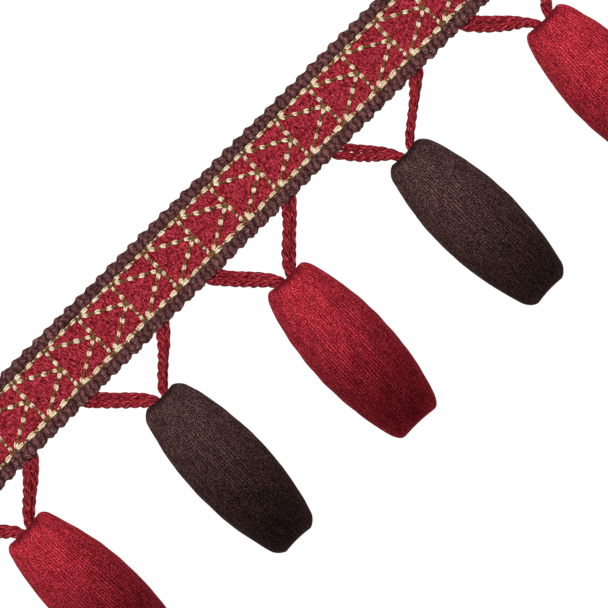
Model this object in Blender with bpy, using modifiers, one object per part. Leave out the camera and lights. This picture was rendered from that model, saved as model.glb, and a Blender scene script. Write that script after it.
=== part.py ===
"""Cut length of beaded fringe: a woven braid with thread-wound barrel beads on twisted cords.

The braid lies flat along X with its back on z = 0. The beads hang towards -Y and lie on the
same surface. The origin is at the middle of the footprint.
"""
import math

import bmesh
import bpy
from mathutils import Vector

mm = 0.001

# The room that every piece keeps to its neighbour
gap = 0.3 * mm

# The braid: outer tips of the scallops, from edge to edge, and where the cut ends are
braid_length = 208.0 * mm
braid_width = 19.35 * mm
braid_outer_y = 38.6 * mm
braid_inner_y = braid_outer_y - braid_width

# The crimson ground between the two edges
upper_edge_width = 2.7 * mm
lower_edge_width = 3.0 * mm
ground_thickness = 1.3 * mm
ground_bevel = 0.20 * mm

# The gold lattice on the ground, measured down from the upper tips of the braid
lattice_upper_rail = 3.53 * mm
lattice_apex_line = 9.35 * mm
lattice_lower_rail = 15.54 * mm
lattice_repeat = 10.83 * mm
lattice_first_cross = 1.87 * mm
lattice_rail_width = 0.90 * mm
lattice_cross_width = 0.75 * mm
lattice_slant_width = 0.85 * mm
lattice_thickness = 0.40 * mm

# The scalloped edges: ribs across the band, their tips standing out past the valleys
rib_count = 60
stations_per_rib = 3
rib_height = 2.35 * mm
valley_height = 1.90 * mm
scallop_depth = 0.75 * mm

# An edge's section from the ground outwards: shares of its width and of its height
edge_outline_columns = ("across", "up")
edge_outline_rows = (
    (0.00, 0.00),
    (0.00, 0.75),
    (0.18, 1.00),
    (0.68, 1.00),
    (1.00, 0.55),
    (0.94, 0.00),
)

# The roots of the hanger cords, flattened, in a notch under the lower edge
root_reach = 2.6 * mm
root_height = 1.45 * mm
root_notch_half = 2.5 * mm
root_notch_ramp = 0.9 * mm
root_lift = 0.55 * mm
root_lift_half = 5.0 * mm

# The hanger cords: width across the pair at the braid and at the bead, and the twist
cord_width_braid = 4.0 * mm
cord_width_bead = 2.6 * mm
cord_depth = 2.1 * mm
cord_strands = 5
cord_groove = 0.24
cord_turn_length = 15.0 * mm
cord_step = 1.1 * mm

# How much of the loop narrows on each side, and where the flat root has become round
narrowing_share = 0.40
root_round_at = 5.7 * mm

# The beads: turned barrels with a rounded rim round a hole that takes the cords
bead_sides = 18
bead_end_drop = 3.7 * mm
bead_barrel_shares = (0.78, 0.58, 0.38)
bead_flat_share = 0.18
bead_rim_radius = 2.0 * mm
bead_rim_angles = (80, 45, 15)
bead_hole_radius = 3.4 * mm
bead_lip_radius = 1.1 * mm
bead_lip_angles = (0, 40, 75)
bead_hole_depth = 5.6 * mm
bead_dimple_depth = 2.0 * mm
bead_dimple_floor = 0.6

# One row for each drop, in millimetres and degrees. Roots are where the legs leave the braid, and
# hang is how far a bead starts below the braid's lower tips.
drop_columns = (
    "name", "colour", "left_root", "right_root", "bead_x", "hang", "length", "diameter", "tilt",
)
drop_rows = (
    ("1", "crimson", -95.8, -72.5, -84.1, 10.60, 46.6, 20.1, 2.4),
    ("2", "brown", -52.5, -28.9, -40.4, 10.80, 46.2, 19.2, -0.9),
    ("3", "crimson", -12.1, 12.5, -0.6, 11.25, 46.3, 20.2, -1.9),
    ("4", "brown", 29.6, 54.3, 39.3, 10.80, 46.7, 19.4, 1.7),
    ("5", "crimson", 71.3, 95.7, 83.7, 11.20, 46.5, 19.9, 0.0),
)

# A leg's way from the braid to the bead: down is the share of the way to the bead's end,
# across the share from its root to the hole, and rise the share up to the bead's axis.
leg_columns = ("down", "across", "rise")
leg_rows = (
    (-0.07, 0.00, 0.00),
    (0.07, 0.03, 0.03),
    (0.27, 0.22, 0.21),
    (0.52, 0.50, 0.50),
    (0.77, 0.79, 0.81),
    (0.92, 0.94, 0.95),
)

# The loop's turn inside the hole: how deep, and how far each leg is from the hole's axis
turn_columns = ("deep", "apart")
turn_rows = (
    (0.5, 1.80),
    (2.2, 1.62),
    (3.5, 1.05),
    (4.0, 0.0),
)

crimson = (0.32, 0.010, 0.022, 1.0)
crimson_cord = (0.36, 0.012, 0.022, 1.0)
brown_edge = (0.085, 0.035, 0.033, 1.0)
brown_bead = (0.045, 0.022, 0.020, 1.0)
gold = (0.80, 0.66, 0.38, 1.0)

bead_colours = {"crimson": crimson, "brown": brown_bead}


def clear_scene():
    for thing in list(bpy.data.objects):
        bpy.data.objects.remove(thing, do_unlink=True)


def material(name, colour, roughness, metallic=0.0):
    made = bpy.data.materials.new(name)
    made.use_nodes = True
    shader = made.node_tree.nodes["Principled BSDF"]
    shader.inputs["Base Color"].default_value = colour
    shader.inputs["Roughness"].default_value = roughness
    shader.inputs["Metallic"].default_value = metallic
    return made


def finish_object(thing, parts, finish, smooth_angle=math.radians(50)):
    """Name the material, put the object in the collection and shade it."""
    for owner in list(thing.users_collection):
        owner.objects.unlink(thing)
    parts.objects.link(thing)
    thing.data.materials.clear()
    thing.data.materials.append(finish)
    if thing.type == "MESH" and smooth_angle:
        thing.data.shade_smooth()
        thing.data.set_sharp_from_angle(angle=smooth_angle)


def loft(name, sections):
    """A closed solid through rings of points that all have the same count."""
    shape = bmesh.new()
    rings = [[shape.verts.new(point) for point in section] for section in sections]
    count = len(rings[0])
    for ring, following in zip(rings, rings[1:]):
        for i in range(count):
            j = (i + 1) % count
            shape.faces.new((ring[i], ring[j], following[j], following[i]))
    shape.faces.new(reversed(rings[0]))
    shape.faces.new(rings[-1])
    bmesh.ops.recalc_face_normals(shape, faces=shape.faces)
    mesh = bpy.data.meshes.new(name)
    shape.to_mesh(mesh)
    shape.free()
    return bpy.data.objects.new(name, mesh)


def drops():
    return [dict(zip(drop_columns, row)) for row in drop_rows]


def root_positions():
    """The x of every leg's root under the lower edge."""
    places = []
    for drop in drops():
        places += [drop["left_root"] * mm, drop["right_root"] * mm]
    return places


def make_ground(parts, finish):
    """The flat woven ground between the two edges, its back on z = 0."""
    lowest = braid_inner_y + lower_edge_width + gap
    highest = braid_outer_y - upper_edge_width - gap
    width = highest - lowest
    middle = (lowest + highest) / 2
    bpy.ops.mesh.primitive_cube_add(size=1, location=(0, middle, ground_thickness / 2))
    ground = bpy.context.active_object
    ground.name = "braid_ground"
    for vertex in ground.data.vertices:
        vertex.co.x *= braid_length
        vertex.co.y *= width
        vertex.co.z *= ground_thickness
    bevel = ground.modifiers.new("soft edges", "BEVEL")
    bevel.width = ground_bevel
    bevel.segments = 2
    finish_object(ground, parts, finish)


def clip_at(points, limit, keep_left):
    """The part of a convex outline on one side of the line x = limit."""
    def inside(point):
        return point[0] <= limit if keep_left else point[0] >= limit

    kept = []
    for here, after in zip(points, points[1:] + points[:1]):
        if inside(here):
            kept.append(here)
        if inside(here) != inside(after):
            share = (limit - here[0]) / (after[0] - here[0])
            kept.append((limit, here[1] + share * (after[1] - here[1])))
    return kept


def lattice_windows(cross_x):
    """The three gaps of one repeat, from the cross line at cross_x to the next, top to bottom."""
    upper = braid_outer_y - lattice_upper_rail
    lower = braid_outer_y - lattice_lower_rail
    apex = braid_outer_y - lattice_apex_line
    left = cross_x + lattice_cross_width / 2
    right = cross_x + lattice_repeat - lattice_cross_width / 2
    top = upper - lattice_rail_width / 2
    bottom = lower + lattice_rail_width / 2

    def slant_edge(start_y, side):
        """Height at the cross line, and slope, of one edge of the slant that starts at start_y."""
        slope = (apex - start_y) / lattice_repeat
        return start_y + side * lattice_slant_width / 2 * math.hypot(1, slope), slope

    def y_at(edge, x):
        return edge[0] + edge[1] * (x - cross_x)

    def x_at(edge, y):
        return cross_x + (y - edge[0]) / edge[1]

    over, under = slant_edge(upper, 1), slant_edge(lower, -1)
    inner_upper, inner_lower = slant_edge(upper, -1), slant_edge(lower, 1)
    tip = cross_x + (inner_upper[0] - inner_lower[0]) / (inner_lower[1] - inner_upper[1])
    above = [(x_at(over, top), top), (right, y_at(over, right)), (right, top)]
    between = [
        (left, y_at(inner_lower, left)),
        (tip, y_at(inner_lower, tip)),
        (left, y_at(inner_upper, left)),
    ]
    below = [(x_at(under, bottom), bottom), (right, bottom), (right, y_at(under, right))]
    return above, between, below


def make_lattice(parts, finish):
    """The gold thread as one flat net on the ground, cut off with the braid at both ends."""
    half = braid_length / 2 - gap
    upper = braid_outer_y - lattice_upper_rail + lattice_rail_width / 2
    lower = braid_outer_y - lattice_lower_rail - lattice_rail_width / 2
    first = math.floor((-half - lattice_first_cross) / lattice_repeat)
    last = math.ceil((half - lattice_first_cross) / lattice_repeat)
    holes = []
    left_side = []
    right_side = []
    for number in range(first, last):
        cross_x = lattice_first_cross + number * lattice_repeat
        for window in lattice_windows(cross_x):
            open_left = min(x for x, y in window) < -half
            open_right = max(x for x, y in window) > half
            if open_left:
                window = clip_at(window, -half, False)
            if open_right:
                window = clip_at(window, half, True)
            if len(window) < 3:
                continue
            if open_left:
                left_side.append(window)
            elif open_right:
                right_side.append(window)
            else:
                holes.append(window)

    def notch(window, limit, downwards):
        """The window's own corners, from where its outline leaves the cut end to where it returns."""
        on_cut = [abs(x - limit) < 1e-9 for x, y in window]
        count = len(window)
        start = next(i for i in range(count) if on_cut[i] and not on_cut[(i + 1) % count])
        walk = [window[(start + i) % count] for i in range(count)]
        if (walk[0][1] > walk[-1][1]) != downwards:
            walk.reverse()
        return walk

    outline = [(-half, upper)]
    for window in sorted(left_side, key=lambda points: -max(y for x, y in points)):
        outline += notch(window, -half, True)
    outline += [(-half, lower), (half, lower)]
    for window in sorted(right_side, key=lambda points: min(y for x, y in points)):
        outline += notch(window, half, False)
    outline.append((half, upper))

    sheet = bmesh.new()
    for points in [outline] + holes:
        corners = [sheet.verts.new((x, y, 0)) for x, y in points]
        for here, after in zip(corners, corners[1:] + corners[:1]):
            sheet.edges.new((here, after))
    bmesh.ops.triangle_fill(sheet, edges=sheet.edges[:], use_beauty=True, normal=(0, 0, 1))
    mesh = bpy.data.meshes.new("gold_lattice")
    sheet.to_mesh(mesh)
    sheet.free()
    net = bpy.data.objects.new("gold_lattice", mesh)
    net.location.z = ground_thickness + gap
    thickness = net.modifiers.new("thread thickness", "SOLIDIFY")
    thickness.thickness = lattice_thickness
    thickness.offset = 1.0
    finish_object(net, parts, finish, None)


def rib_share(x):
    """0 in the valley between two ribs, 1 on the flat crest of a rib."""
    phase = ((x + braid_length / 2) / (braid_length / rib_count)) % 1.0
    return min(1.0, stations_per_rib * min(phase, 1 - phase))


def edge_stations(roots):
    """Where the sections of an edge lie: a few to a rib, and the corners of each root's notch."""
    spacing = braid_length / (rib_count * stations_per_rib)
    corners = []
    for root in roots:
        for offset in (root_notch_half, root_notch_half + root_notch_ramp):
            corners += [root - offset, root + offset]
    places = list(corners)
    for number in range(stations_per_rib * rib_count + 1):
        x = -braid_length / 2 + number * spacing
        if all(abs(x - corner) > spacing / 3 for corner in corners):
            places.append(x)
    return sorted(places)


def make_edge(name, parts, finish, inner_y, edge_width, direction, roots):
    """A scalloped gimp edge, lofted along the braid. Direction is +1 or -1, from the ground out."""
    sections = []
    for x in edge_stations(roots):
        rib = rib_share(x)
        under = 0.0
        top = valley_height + rib * (rib_height - valley_height)
        for root in roots:
            away = abs(x - root)
            ramp = (root_notch_half + root_notch_ramp - away) / root_notch_ramp
            under = max(under, min(1.0, max(0.0, ramp)) * (root_height + 2 * gap))
            if away < root_lift_half:
                top += root_lift * 0.5 * (1 + math.cos(math.pi * away / root_lift_half))
        width = edge_width - (1 - rib) * scallop_depth
        section = []
        for row in edge_outline_rows:
            share = dict(zip(edge_outline_columns, row))
            y = inner_y + direction * width * share["across"]
            section.append((x, y, under + (top - under) * share["up"]))
        sections.append(section)
    finish_object(loft(name, sections), parts, finish)


def bead_frame(drop):
    """The middle of a bead's end face, the way into its hole, and the way across it."""
    turn = math.radians(drop["tilt"])
    axis_height = drop["diameter"] * mm / 2 * math.cos(math.pi / bead_sides)
    end = Vector((drop["bead_x"] * mm, braid_inner_y - drop["hang"] * mm, axis_height))
    inwards = Vector((math.sin(turn), -math.cos(turn), 0))
    across = Vector((math.cos(turn), math.sin(turn), 0))
    return end, inwards, across


def hanger_route(drop):
    """The points that one loop of cord runs through, from its left root to its right root."""
    end, inwards, across = bead_frame(drop)
    root_z = root_height / 2 + gap / 2
    legs = []
    for side, root_x in ((-1, drop["left_root"] * mm), (1, drop["right_root"] * mm)):
        mouth = end + side * turn_rows[0][1] * mm * across
        leg = [Vector((root_x, braid_inner_y + root_reach, root_z))]
        for row in leg_rows:
            share = dict(zip(leg_columns, row))
            leg.append(Vector((
                root_x + (mouth.x - root_x) * share["across"],
                braid_inner_y + (mouth.y - braid_inner_y) * share["down"],
                root_z + (mouth.z - root_z) * share["rise"],
            )))
        for row in turn_rows[:-1]:
            turn = dict(zip(turn_columns, row))
            leg.append(end + inwards * turn["deep"] * mm + side * across * turn["apart"] * mm)
        legs.append(leg)
    bottom = end + inwards * turn_rows[-1][0] * mm
    return legs[0] + [bottom] + legs[1][::-1]


def smooth_route(points, step):
    """Evenly spaced points on a smooth curve through the given ones."""
    fine = []
    padded = [2 * points[0] - points[1]] + points + [2 * points[-1] - points[-2]]
    for a, b, c, d in zip(padded, padded[1:], padded[2:], padded[3:]):
        for i in range(12):
            t = i / 12
            fine.append(0.5 * (2 * b + (c - a) * t + (2 * a - 5 * b + 4 * c - d) * t ** 2
                               + (3 * b - a - 3 * c + d) * t ** 3))
    fine.append(points[-1].copy())
    lengths = [0.0]
    for here, after in zip(fine, fine[1:]):
        lengths.append(lengths[-1] + (after - here).length)
    count = round(lengths[-1] / step)
    even = []
    k = 0
    for i in range(count + 1):
        wanted = lengths[-1] * i / count
        while k < len(lengths) - 2 and lengths[k + 1] < wanted:
            k += 1
        share = (wanted - lengths[k]) / (lengths[k + 1] - lengths[k])
        even.append(fine[k].lerp(fine[k + 1], share))
    return even, lengths[-1]


def make_hanger(drop, parts, finish):
    """One loop of S-twisted cord, wide and flat at its roots and rounder in the bead's hole."""
    route, total = smooth_route(hanger_route(drop), cord_step)
    sections = []
    last = len(route) - 1
    for i, point in enumerate(route):
        ahead = (route[min(i + 1, last)] - route[max(i - 1, 0)]).normalized()
        side = ahead.cross(Vector((0, 0, 1))).normalized()
        up = side.cross(ahead)
        run = total * i / last
        from_root = min(run, total - run)
        narrowing = min(1.0, from_root / (total * narrowing_share))
        width = cord_width_braid + (cord_width_bead - cord_width_braid) * narrowing
        flatness = min(1.0, max(0.0, 2 * (1 - from_root / root_round_at)))
        depth = cord_depth + (root_height - cord_depth) * flatness
        turned = 2 * math.pi * run / cord_turn_length
        ring = []
        for k in range(2 * cord_strands):
            angle = turned + math.pi * k / cord_strands
            reach = 1.0 if k % 2 == 0 else 1 - cord_groove
            across = width / 2 * reach * math.cos(angle)
            above = depth / 2 * reach * math.sin(angle)
            ring.append(point + side * across + up * above)
        sections.append(ring)
    finish_object(loft("hanger_" + drop["name"], sections), parts, finish, math.radians(75))


def bead_profile(length, radius):
    """Half of a bead's outline, from the floor of its hole over the barrel to the far dimple."""
    half = length / 2

    def barrel(height):
        return radius - bead_end_drop * (height / half) ** 2

    corner = barrel(half - bead_rim_radius)
    rim = corner - bead_rim_radius
    hole = bead_hole_radius
    points = [(0.0, half - bead_hole_depth), (hole, half - bead_hole_depth)]
    for turn in bead_lip_angles:
        angle = math.radians(turn)
        points.append((
            hole + bead_lip_radius * (1 - math.cos(angle)),
            half - bead_lip_radius * (1 - math.sin(angle)),
        ))
    outside = []
    for turn in bead_rim_angles:
        angle = math.radians(turn)
        outside.append((
            rim + bead_rim_radius * math.cos(angle),
            half - bead_rim_radius * (1 - math.sin(angle)),
        ))
    for share in bead_barrel_shares:
        outside.append((barrel(half * share), half * share))
    outside.append((radius, half * bead_flat_share))
    points += outside
    points += [(r, -z) for r, z in reversed(outside)]
    points.append((hole, -half + bead_dimple_depth / 3))
    points.append((hole * bead_dimple_floor, -half + bead_dimple_depth))
    points.append((0.0, -half + bead_dimple_depth))
    return points


def make_bead(drop, parts, finish):
    """A turned barrel bead that lies on one of its flat sides, its hole towards the braid."""
    length = drop["length"] * mm
    end, inwards, across = bead_frame(drop)
    mesh = bpy.data.meshes.new("bead_" + drop["name"])
    points = [(r, 0.0, z) for r, z in bead_profile(length, drop["diameter"] * mm / 2)]
    mesh.from_pydata(points, [(i, i + 1) for i in range(len(points) - 1)], [])
    bead = bpy.data.objects.new("bead_" + drop["name"], mesh)
    turned = bead.modifiers.new("turned", "SCREW")
    turned.steps = bead_sides
    turned.render_steps = bead_sides
    turned.use_merge_vertices = True
    turned.merge_threshold = 0.00005
    turned.use_smooth_shade = True
    bead.location = end + inwards * length / 2
    bead.rotation_euler = (-math.pi / 2, 0, math.radians(drop["tilt"]))
    finish_object(bead, parts, finish, None)


def main():
    clear_scene()
    parts = bpy.data.collections.new("beaded_fringe")
    bpy.context.scene.collection.children.link(parts)

    edge_finish = material("brown gimp yarn", brown_edge, 0.85)
    cord_finish = material("crimson cord", crimson_cord, 0.75)
    make_ground(parts, material("crimson woven ground", crimson, 0.80))
    make_lattice(parts, material("gold lattice thread", gold, 0.35, 0.8))
    make_edge("edge_upper", parts, edge_finish, braid_outer_y - upper_edge_width,
              upper_edge_width, 1, ())
    make_edge("edge_lower", parts, edge_finish, braid_inner_y + lower_edge_width,
              lower_edge_width, -1, root_positions())
    bead_finishes = {
        name: material(name + " wound thread", colour, 0.70)
        for name, colour in bead_colours.items()
    }
    for drop in drops():
        make_hanger(drop, parts, cord_finish)
        make_bead(drop, parts, bead_finishes[drop["colour"]])


main()
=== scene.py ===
import math

import bpy
import numpy as np
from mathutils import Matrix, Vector


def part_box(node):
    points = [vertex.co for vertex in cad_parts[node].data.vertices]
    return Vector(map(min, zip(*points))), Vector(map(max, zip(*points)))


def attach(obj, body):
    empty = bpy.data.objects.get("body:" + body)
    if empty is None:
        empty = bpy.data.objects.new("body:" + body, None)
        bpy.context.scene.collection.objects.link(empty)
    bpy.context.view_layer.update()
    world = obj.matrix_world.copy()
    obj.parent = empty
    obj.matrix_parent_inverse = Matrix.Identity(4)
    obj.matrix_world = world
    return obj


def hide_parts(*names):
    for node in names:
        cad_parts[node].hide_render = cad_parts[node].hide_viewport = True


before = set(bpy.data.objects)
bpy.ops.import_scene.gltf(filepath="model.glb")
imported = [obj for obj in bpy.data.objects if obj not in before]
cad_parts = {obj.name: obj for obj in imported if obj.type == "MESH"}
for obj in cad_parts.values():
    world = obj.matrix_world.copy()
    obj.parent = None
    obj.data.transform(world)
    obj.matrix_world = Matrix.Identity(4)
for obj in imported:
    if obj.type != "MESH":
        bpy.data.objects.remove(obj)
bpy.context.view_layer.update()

mm = 0.001
fullTurn = 2.0 * math.pi
anyPhase = (0.0, 6.28)          # range of a random phase
white = (1.0, 1.0, 1.0, 1.0)
clearance = 0.02                # mm that yarn keeps above the surface it lies on
nudge = 1e-6                    # puts a point on the border of two floats into the second
print("frame loaded:", len(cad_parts), "nodes")


# camera, light and floor

view = {
    "pictureWidth": 141.06,     # mm across the square picture, at the height below
    "measureHeight": 5.0,
    "centreX": -1.7,
    "roll": -45.0,              # the braid runs up the picture's diagonal
    "distance": 1500.0,
    "sensor": 36.0,
    "clip": (50.0, 50000.0),
}

studio = {
    "lampTilt": 14.0,           # degrees from upright, towards the braid's upper edge
    "lampTurn": -3.6,           # the light reaches further down at the right-hand beads
    "lampAim": (0.0, 44.8, 18.0),
    "lampDistance": 170.0,
    "lampLength": 380.0,
    "lampWidth": 120.0,
    "lampSpread": 16.5,         # narrow, so that its light fades out over the beads
    "lampPower": 0.184,
    "worldLight": 0.163,
    "backdropLight": 1.0,       # what the camera sees past the floor
    "floorSize": 6000.0,
    "floorHeight": -0.2,
    "floorColour": (0.05, 0.05, 0.05, 1.0),
    "floorRoughness": 0.9,
    "floorGlow": 1.0,
}


def addObject(name, data):
    made = bpy.data.objects.new(name, data)
    bpy.context.scene.collection.objects.link(made)
    return made


def makeCamera():
    data = bpy.data.cameras.new("cameraAbove")
    data.sensor_width = view["sensor"]
    data.lens = view["sensor"] * (view["distance"] - view["measureHeight"]) / view["pictureWidth"]
    data.clip_start, data.clip_end = (distance * mm for distance in view["clip"])
    camera = addObject("cameraAbove", data)
    camera.location = (view["centreX"] * mm, 0.0, view["distance"] * mm)
    camera.rotation_euler = (0.0, 0.0, math.radians(view["roll"]))
    bpy.context.scene.camera = camera


def makeLamp():
    data = bpy.data.lights.new("softLamp", "AREA")
    data.shape = "RECTANGLE"
    data.size = studio["lampLength"] * mm
    data.size_y = studio["lampWidth"] * mm
    data.spread = math.radians(studio["lampSpread"])
    data.energy = studio["lampPower"]
    lamp = addObject("softLamp", data)
    tilt, turn = math.radians(studio["lampTilt"]), math.radians(studio["lampTurn"])
    level = math.sin(tilt)
    towards = Vector((-level * math.sin(turn), level * math.cos(turn), math.cos(tilt)))
    lamp.location = (Vector(studio["lampAim"]) + towards * studio["lampDistance"]) * mm
    lamp.rotation_euler = (-tilt, 0.0, turn)
    lamp.visible_camera = False


def makeWorld():
    world = bpy.data.worlds.new("paleRoom")
    world.use_nodes = True
    tree = world.node_tree
    lighting = tree.nodes["Background"]
    backdrop = tree.nodes.new("ShaderNodeBackground")
    for background, setting in ((lighting, "worldLight"), (backdrop, "backdropLight")):
        background.inputs["Color"].default_value = white
        background.inputs["Strength"].default_value = studio[setting]
    path = tree.nodes.new("ShaderNodeLightPath")
    mix = tree.nodes.new("ShaderNodeMixShader")
    tree.links.new(path.outputs["Is Camera Ray"], mix.inputs["Fac"])
    tree.links.new(lighting.outputs["Background"], mix.inputs[1])
    tree.links.new(backdrop.outputs["Background"], mix.inputs[2])
    tree.links.new(mix.outputs["Shader"], tree.nodes["World Output"].inputs["Surface"])
    bpy.context.scene.world = world


def makeFloor():
    half = studio["floorSize"] * mm / 2
    height = studio["floorHeight"] * mm
    mesh = bpy.data.meshes.new("paleFloor")
    corners = ((-half, -half), (half, -half), (half, half), (-half, half))
    mesh.from_pydata([(x, y, height) for x, y in corners], [], [(0, 1, 2, 3)])
    floor = addObject("paleFloor", mesh)
    material = bpy.data.materials.new("palePaper")
    material.use_nodes = True
    shader = material.node_tree.nodes["Principled BSDF"]
    shader.inputs["Base Color"].default_value = studio["floorColour"]
    shader.inputs["Roughness"].default_value = studio["floorRoughness"]
    shader.inputs["Specular IOR Level"].default_value = 0.0
    shader.inputs["Emission Color"].default_value = white
    shader.inputs["Emission Strength"].default_value = studio["floorGlow"]
    mesh.materials.append(material)


bpy.context.scene.view_settings.view_transform = "Standard"
makeCamera()
makeLamp()
makeWorld()
makeFloor()
print("camera, light and floor made")


# shared tools for yarn

def meshFromGrids(name, grids):
    # Each grid is a block of points, rows along a yarn and columns round it, in mm.
    # Its last column joins the first, and it gets a cap at both ends.
    places, corners, starts, maps, crests, shades = [], [], [], [], [], []
    pointCount = cornerCount = 0
    for grid in grids:
        points = grid["points"]
        rows, cols = points.shape[:2]
        index = np.arange(rows * cols).reshape(rows, cols) + pointCount
        beside = np.roll(index, -1, axis=1)
        quads = np.stack([index[:-1], index[1:], beside[1:], beside[:-1]], axis=2)
        flat = np.stack(np.meshgrid(grid["along"], grid["around"], indexing="ij"), axis=2)
        cornerMap = np.stack([flat[:-1, :-1], flat[1:, :-1], flat[1:, 1:], flat[:-1, 1:]], axis=2)
        places.append(points.reshape(-1, 3))
        corners.append(quads.reshape(-1))
        starts.append(cornerCount + 4 * np.arange(quads.shape[0] * quads.shape[1]))
        maps.append(cornerMap.reshape(-1, 2))
        cornerCount += quads.size
        for ring, ringMap in ((index[0], flat[0, :-1]), (index[-1][::-1], flat[-1, :-1])):
            corners.append(ring)
            starts.append(np.array([cornerCount]))
            maps.append(ringMap)
            cornerCount += cols
        crests.append(np.broadcast_to(grid["crest"], (rows, cols)).reshape(-1))
        shades.append(np.broadcast_to(grid["shade"], (rows, cols)).reshape(-1))
        pointCount += rows * cols
    mesh = bpy.data.meshes.new(name)
    mesh.vertices.add(pointCount)
    mesh.vertices.foreach_set("co", (np.concatenate(places) * mm).astype(np.float32).ravel())
    mesh.loops.add(cornerCount)
    mesh.loops.foreach_set("vertex_index", np.concatenate(corners).astype(np.int32))
    starts = np.concatenate(starts).astype(np.int32)
    mesh.polygons.add(len(starts))
    mesh.polygons.foreach_set("loop_start", starts)
    mesh.update(calc_edges=True)
    mesh.validate()
    layer = mesh.uv_layers.new(name="yarnMap")
    layer.uv.foreach_set("vector", np.concatenate(maps).astype(np.float32).ravel())
    for label, values in (("crest", crests), ("shade", shades)):
        attribute = mesh.attributes.new(label, "FLOAT", "POINT")
        attribute.data.foreach_set("value", np.concatenate(values).astype(np.float32))
    mesh.shade_smooth()
    return mesh


def placePiece(name, grids, material, nodes):
    mesh = meshFromGrids(name, grids)
    mesh.materials.append(material)
    piece = addObject(name, mesh)
    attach(piece, "root")
    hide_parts(*nodes)
    triangles = sum(len(face.vertices) - 2 for face in mesh.polygons)
    print(name, "made:", triangles, "triangles")
    return piece


def tableRows(columns, rows):
    return [dict(zip(columns, row)) for row in rows]


def eitherWay(random, most):
    return random.uniform(-most, most)


def dome(share, power):
    # 0 at both ends of 0..1 and 1 in the middle, flatter on top for a higher power
    return 1.0 - np.abs(2.0 * share - 1.0) ** power


def raisedFrom(low, share):
    # From low to 1 as the share goes from 0 to 1
    return low + (1 - low) * share


def runAlong(points):
    # Distance of each point from the first, along the line that they make
    return np.concatenate([[0.0], np.cumsum(np.linalg.norm(np.diff(points, axis=0), axis=1))])


def resampled(points, count):
    # Evenly spaced points on a line of points, and the distance of each from the start
    points = np.asarray(points, float)
    run = runAlong(points)
    wanted = np.linspace(0.0, run[-1], count)
    return np.column_stack([np.interp(wanted, run, values) for values in points.T]), wanted


def sideAndUp(path):
    # Directions across a path: level to its side, and up from it
    ahead = np.gradient(path, axis=0)
    ahead /= np.linalg.norm(ahead, axis=1)[:, None]
    side = np.cross(ahead, (0.0, 0.0, 1.0))
    side /= np.linalg.norm(side, axis=1)[:, None]
    return side, np.cross(side, ahead)


def besidePoints(values):
    # Values along a yarn become a column, which spreads to all the points round it
    values = np.asarray(values, float)
    return values[:, None] if values.ndim == 1 else values


def tube(path, radius, sides, shade, flat=1.0, crest=1.0):
    # A yarn round a path of points. Its radius and crest are one number,
    # a value for each point of the path, or a block of values for all points round it.
    side, up = sideAndUp(path)
    angle = np.linspace(0.0, fullTurn, sides, endpoint=False)[None, :]
    radius = np.broadcast_to(besidePoints(radius), (len(path), sides))
    out = (np.cos(angle) * radius)[:, :, None] * side[:, None, :]
    out = out + (np.sin(angle) * radius * flat)[:, :, None] * up[:, None, :]
    return {
        "points": path[:, None, :] + out,
        "along": runAlong(path),
        "around": np.linspace(0.0, fullTurn * float(np.mean(radius)), sides + 1),
        "crest": besidePoints(crest),
        "shade": shade,
    }


# shared tools for thread materials

fibreNoise = {                  # detail, roughness and distortion
    "fleck": (2.0, 0.50, 0.1),
    "patch": (1.0, 0.55, 0.0),
    "slit": (1.0, 0.50, 0.3),
}
patchSpan = (0.3, 0.7)


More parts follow.
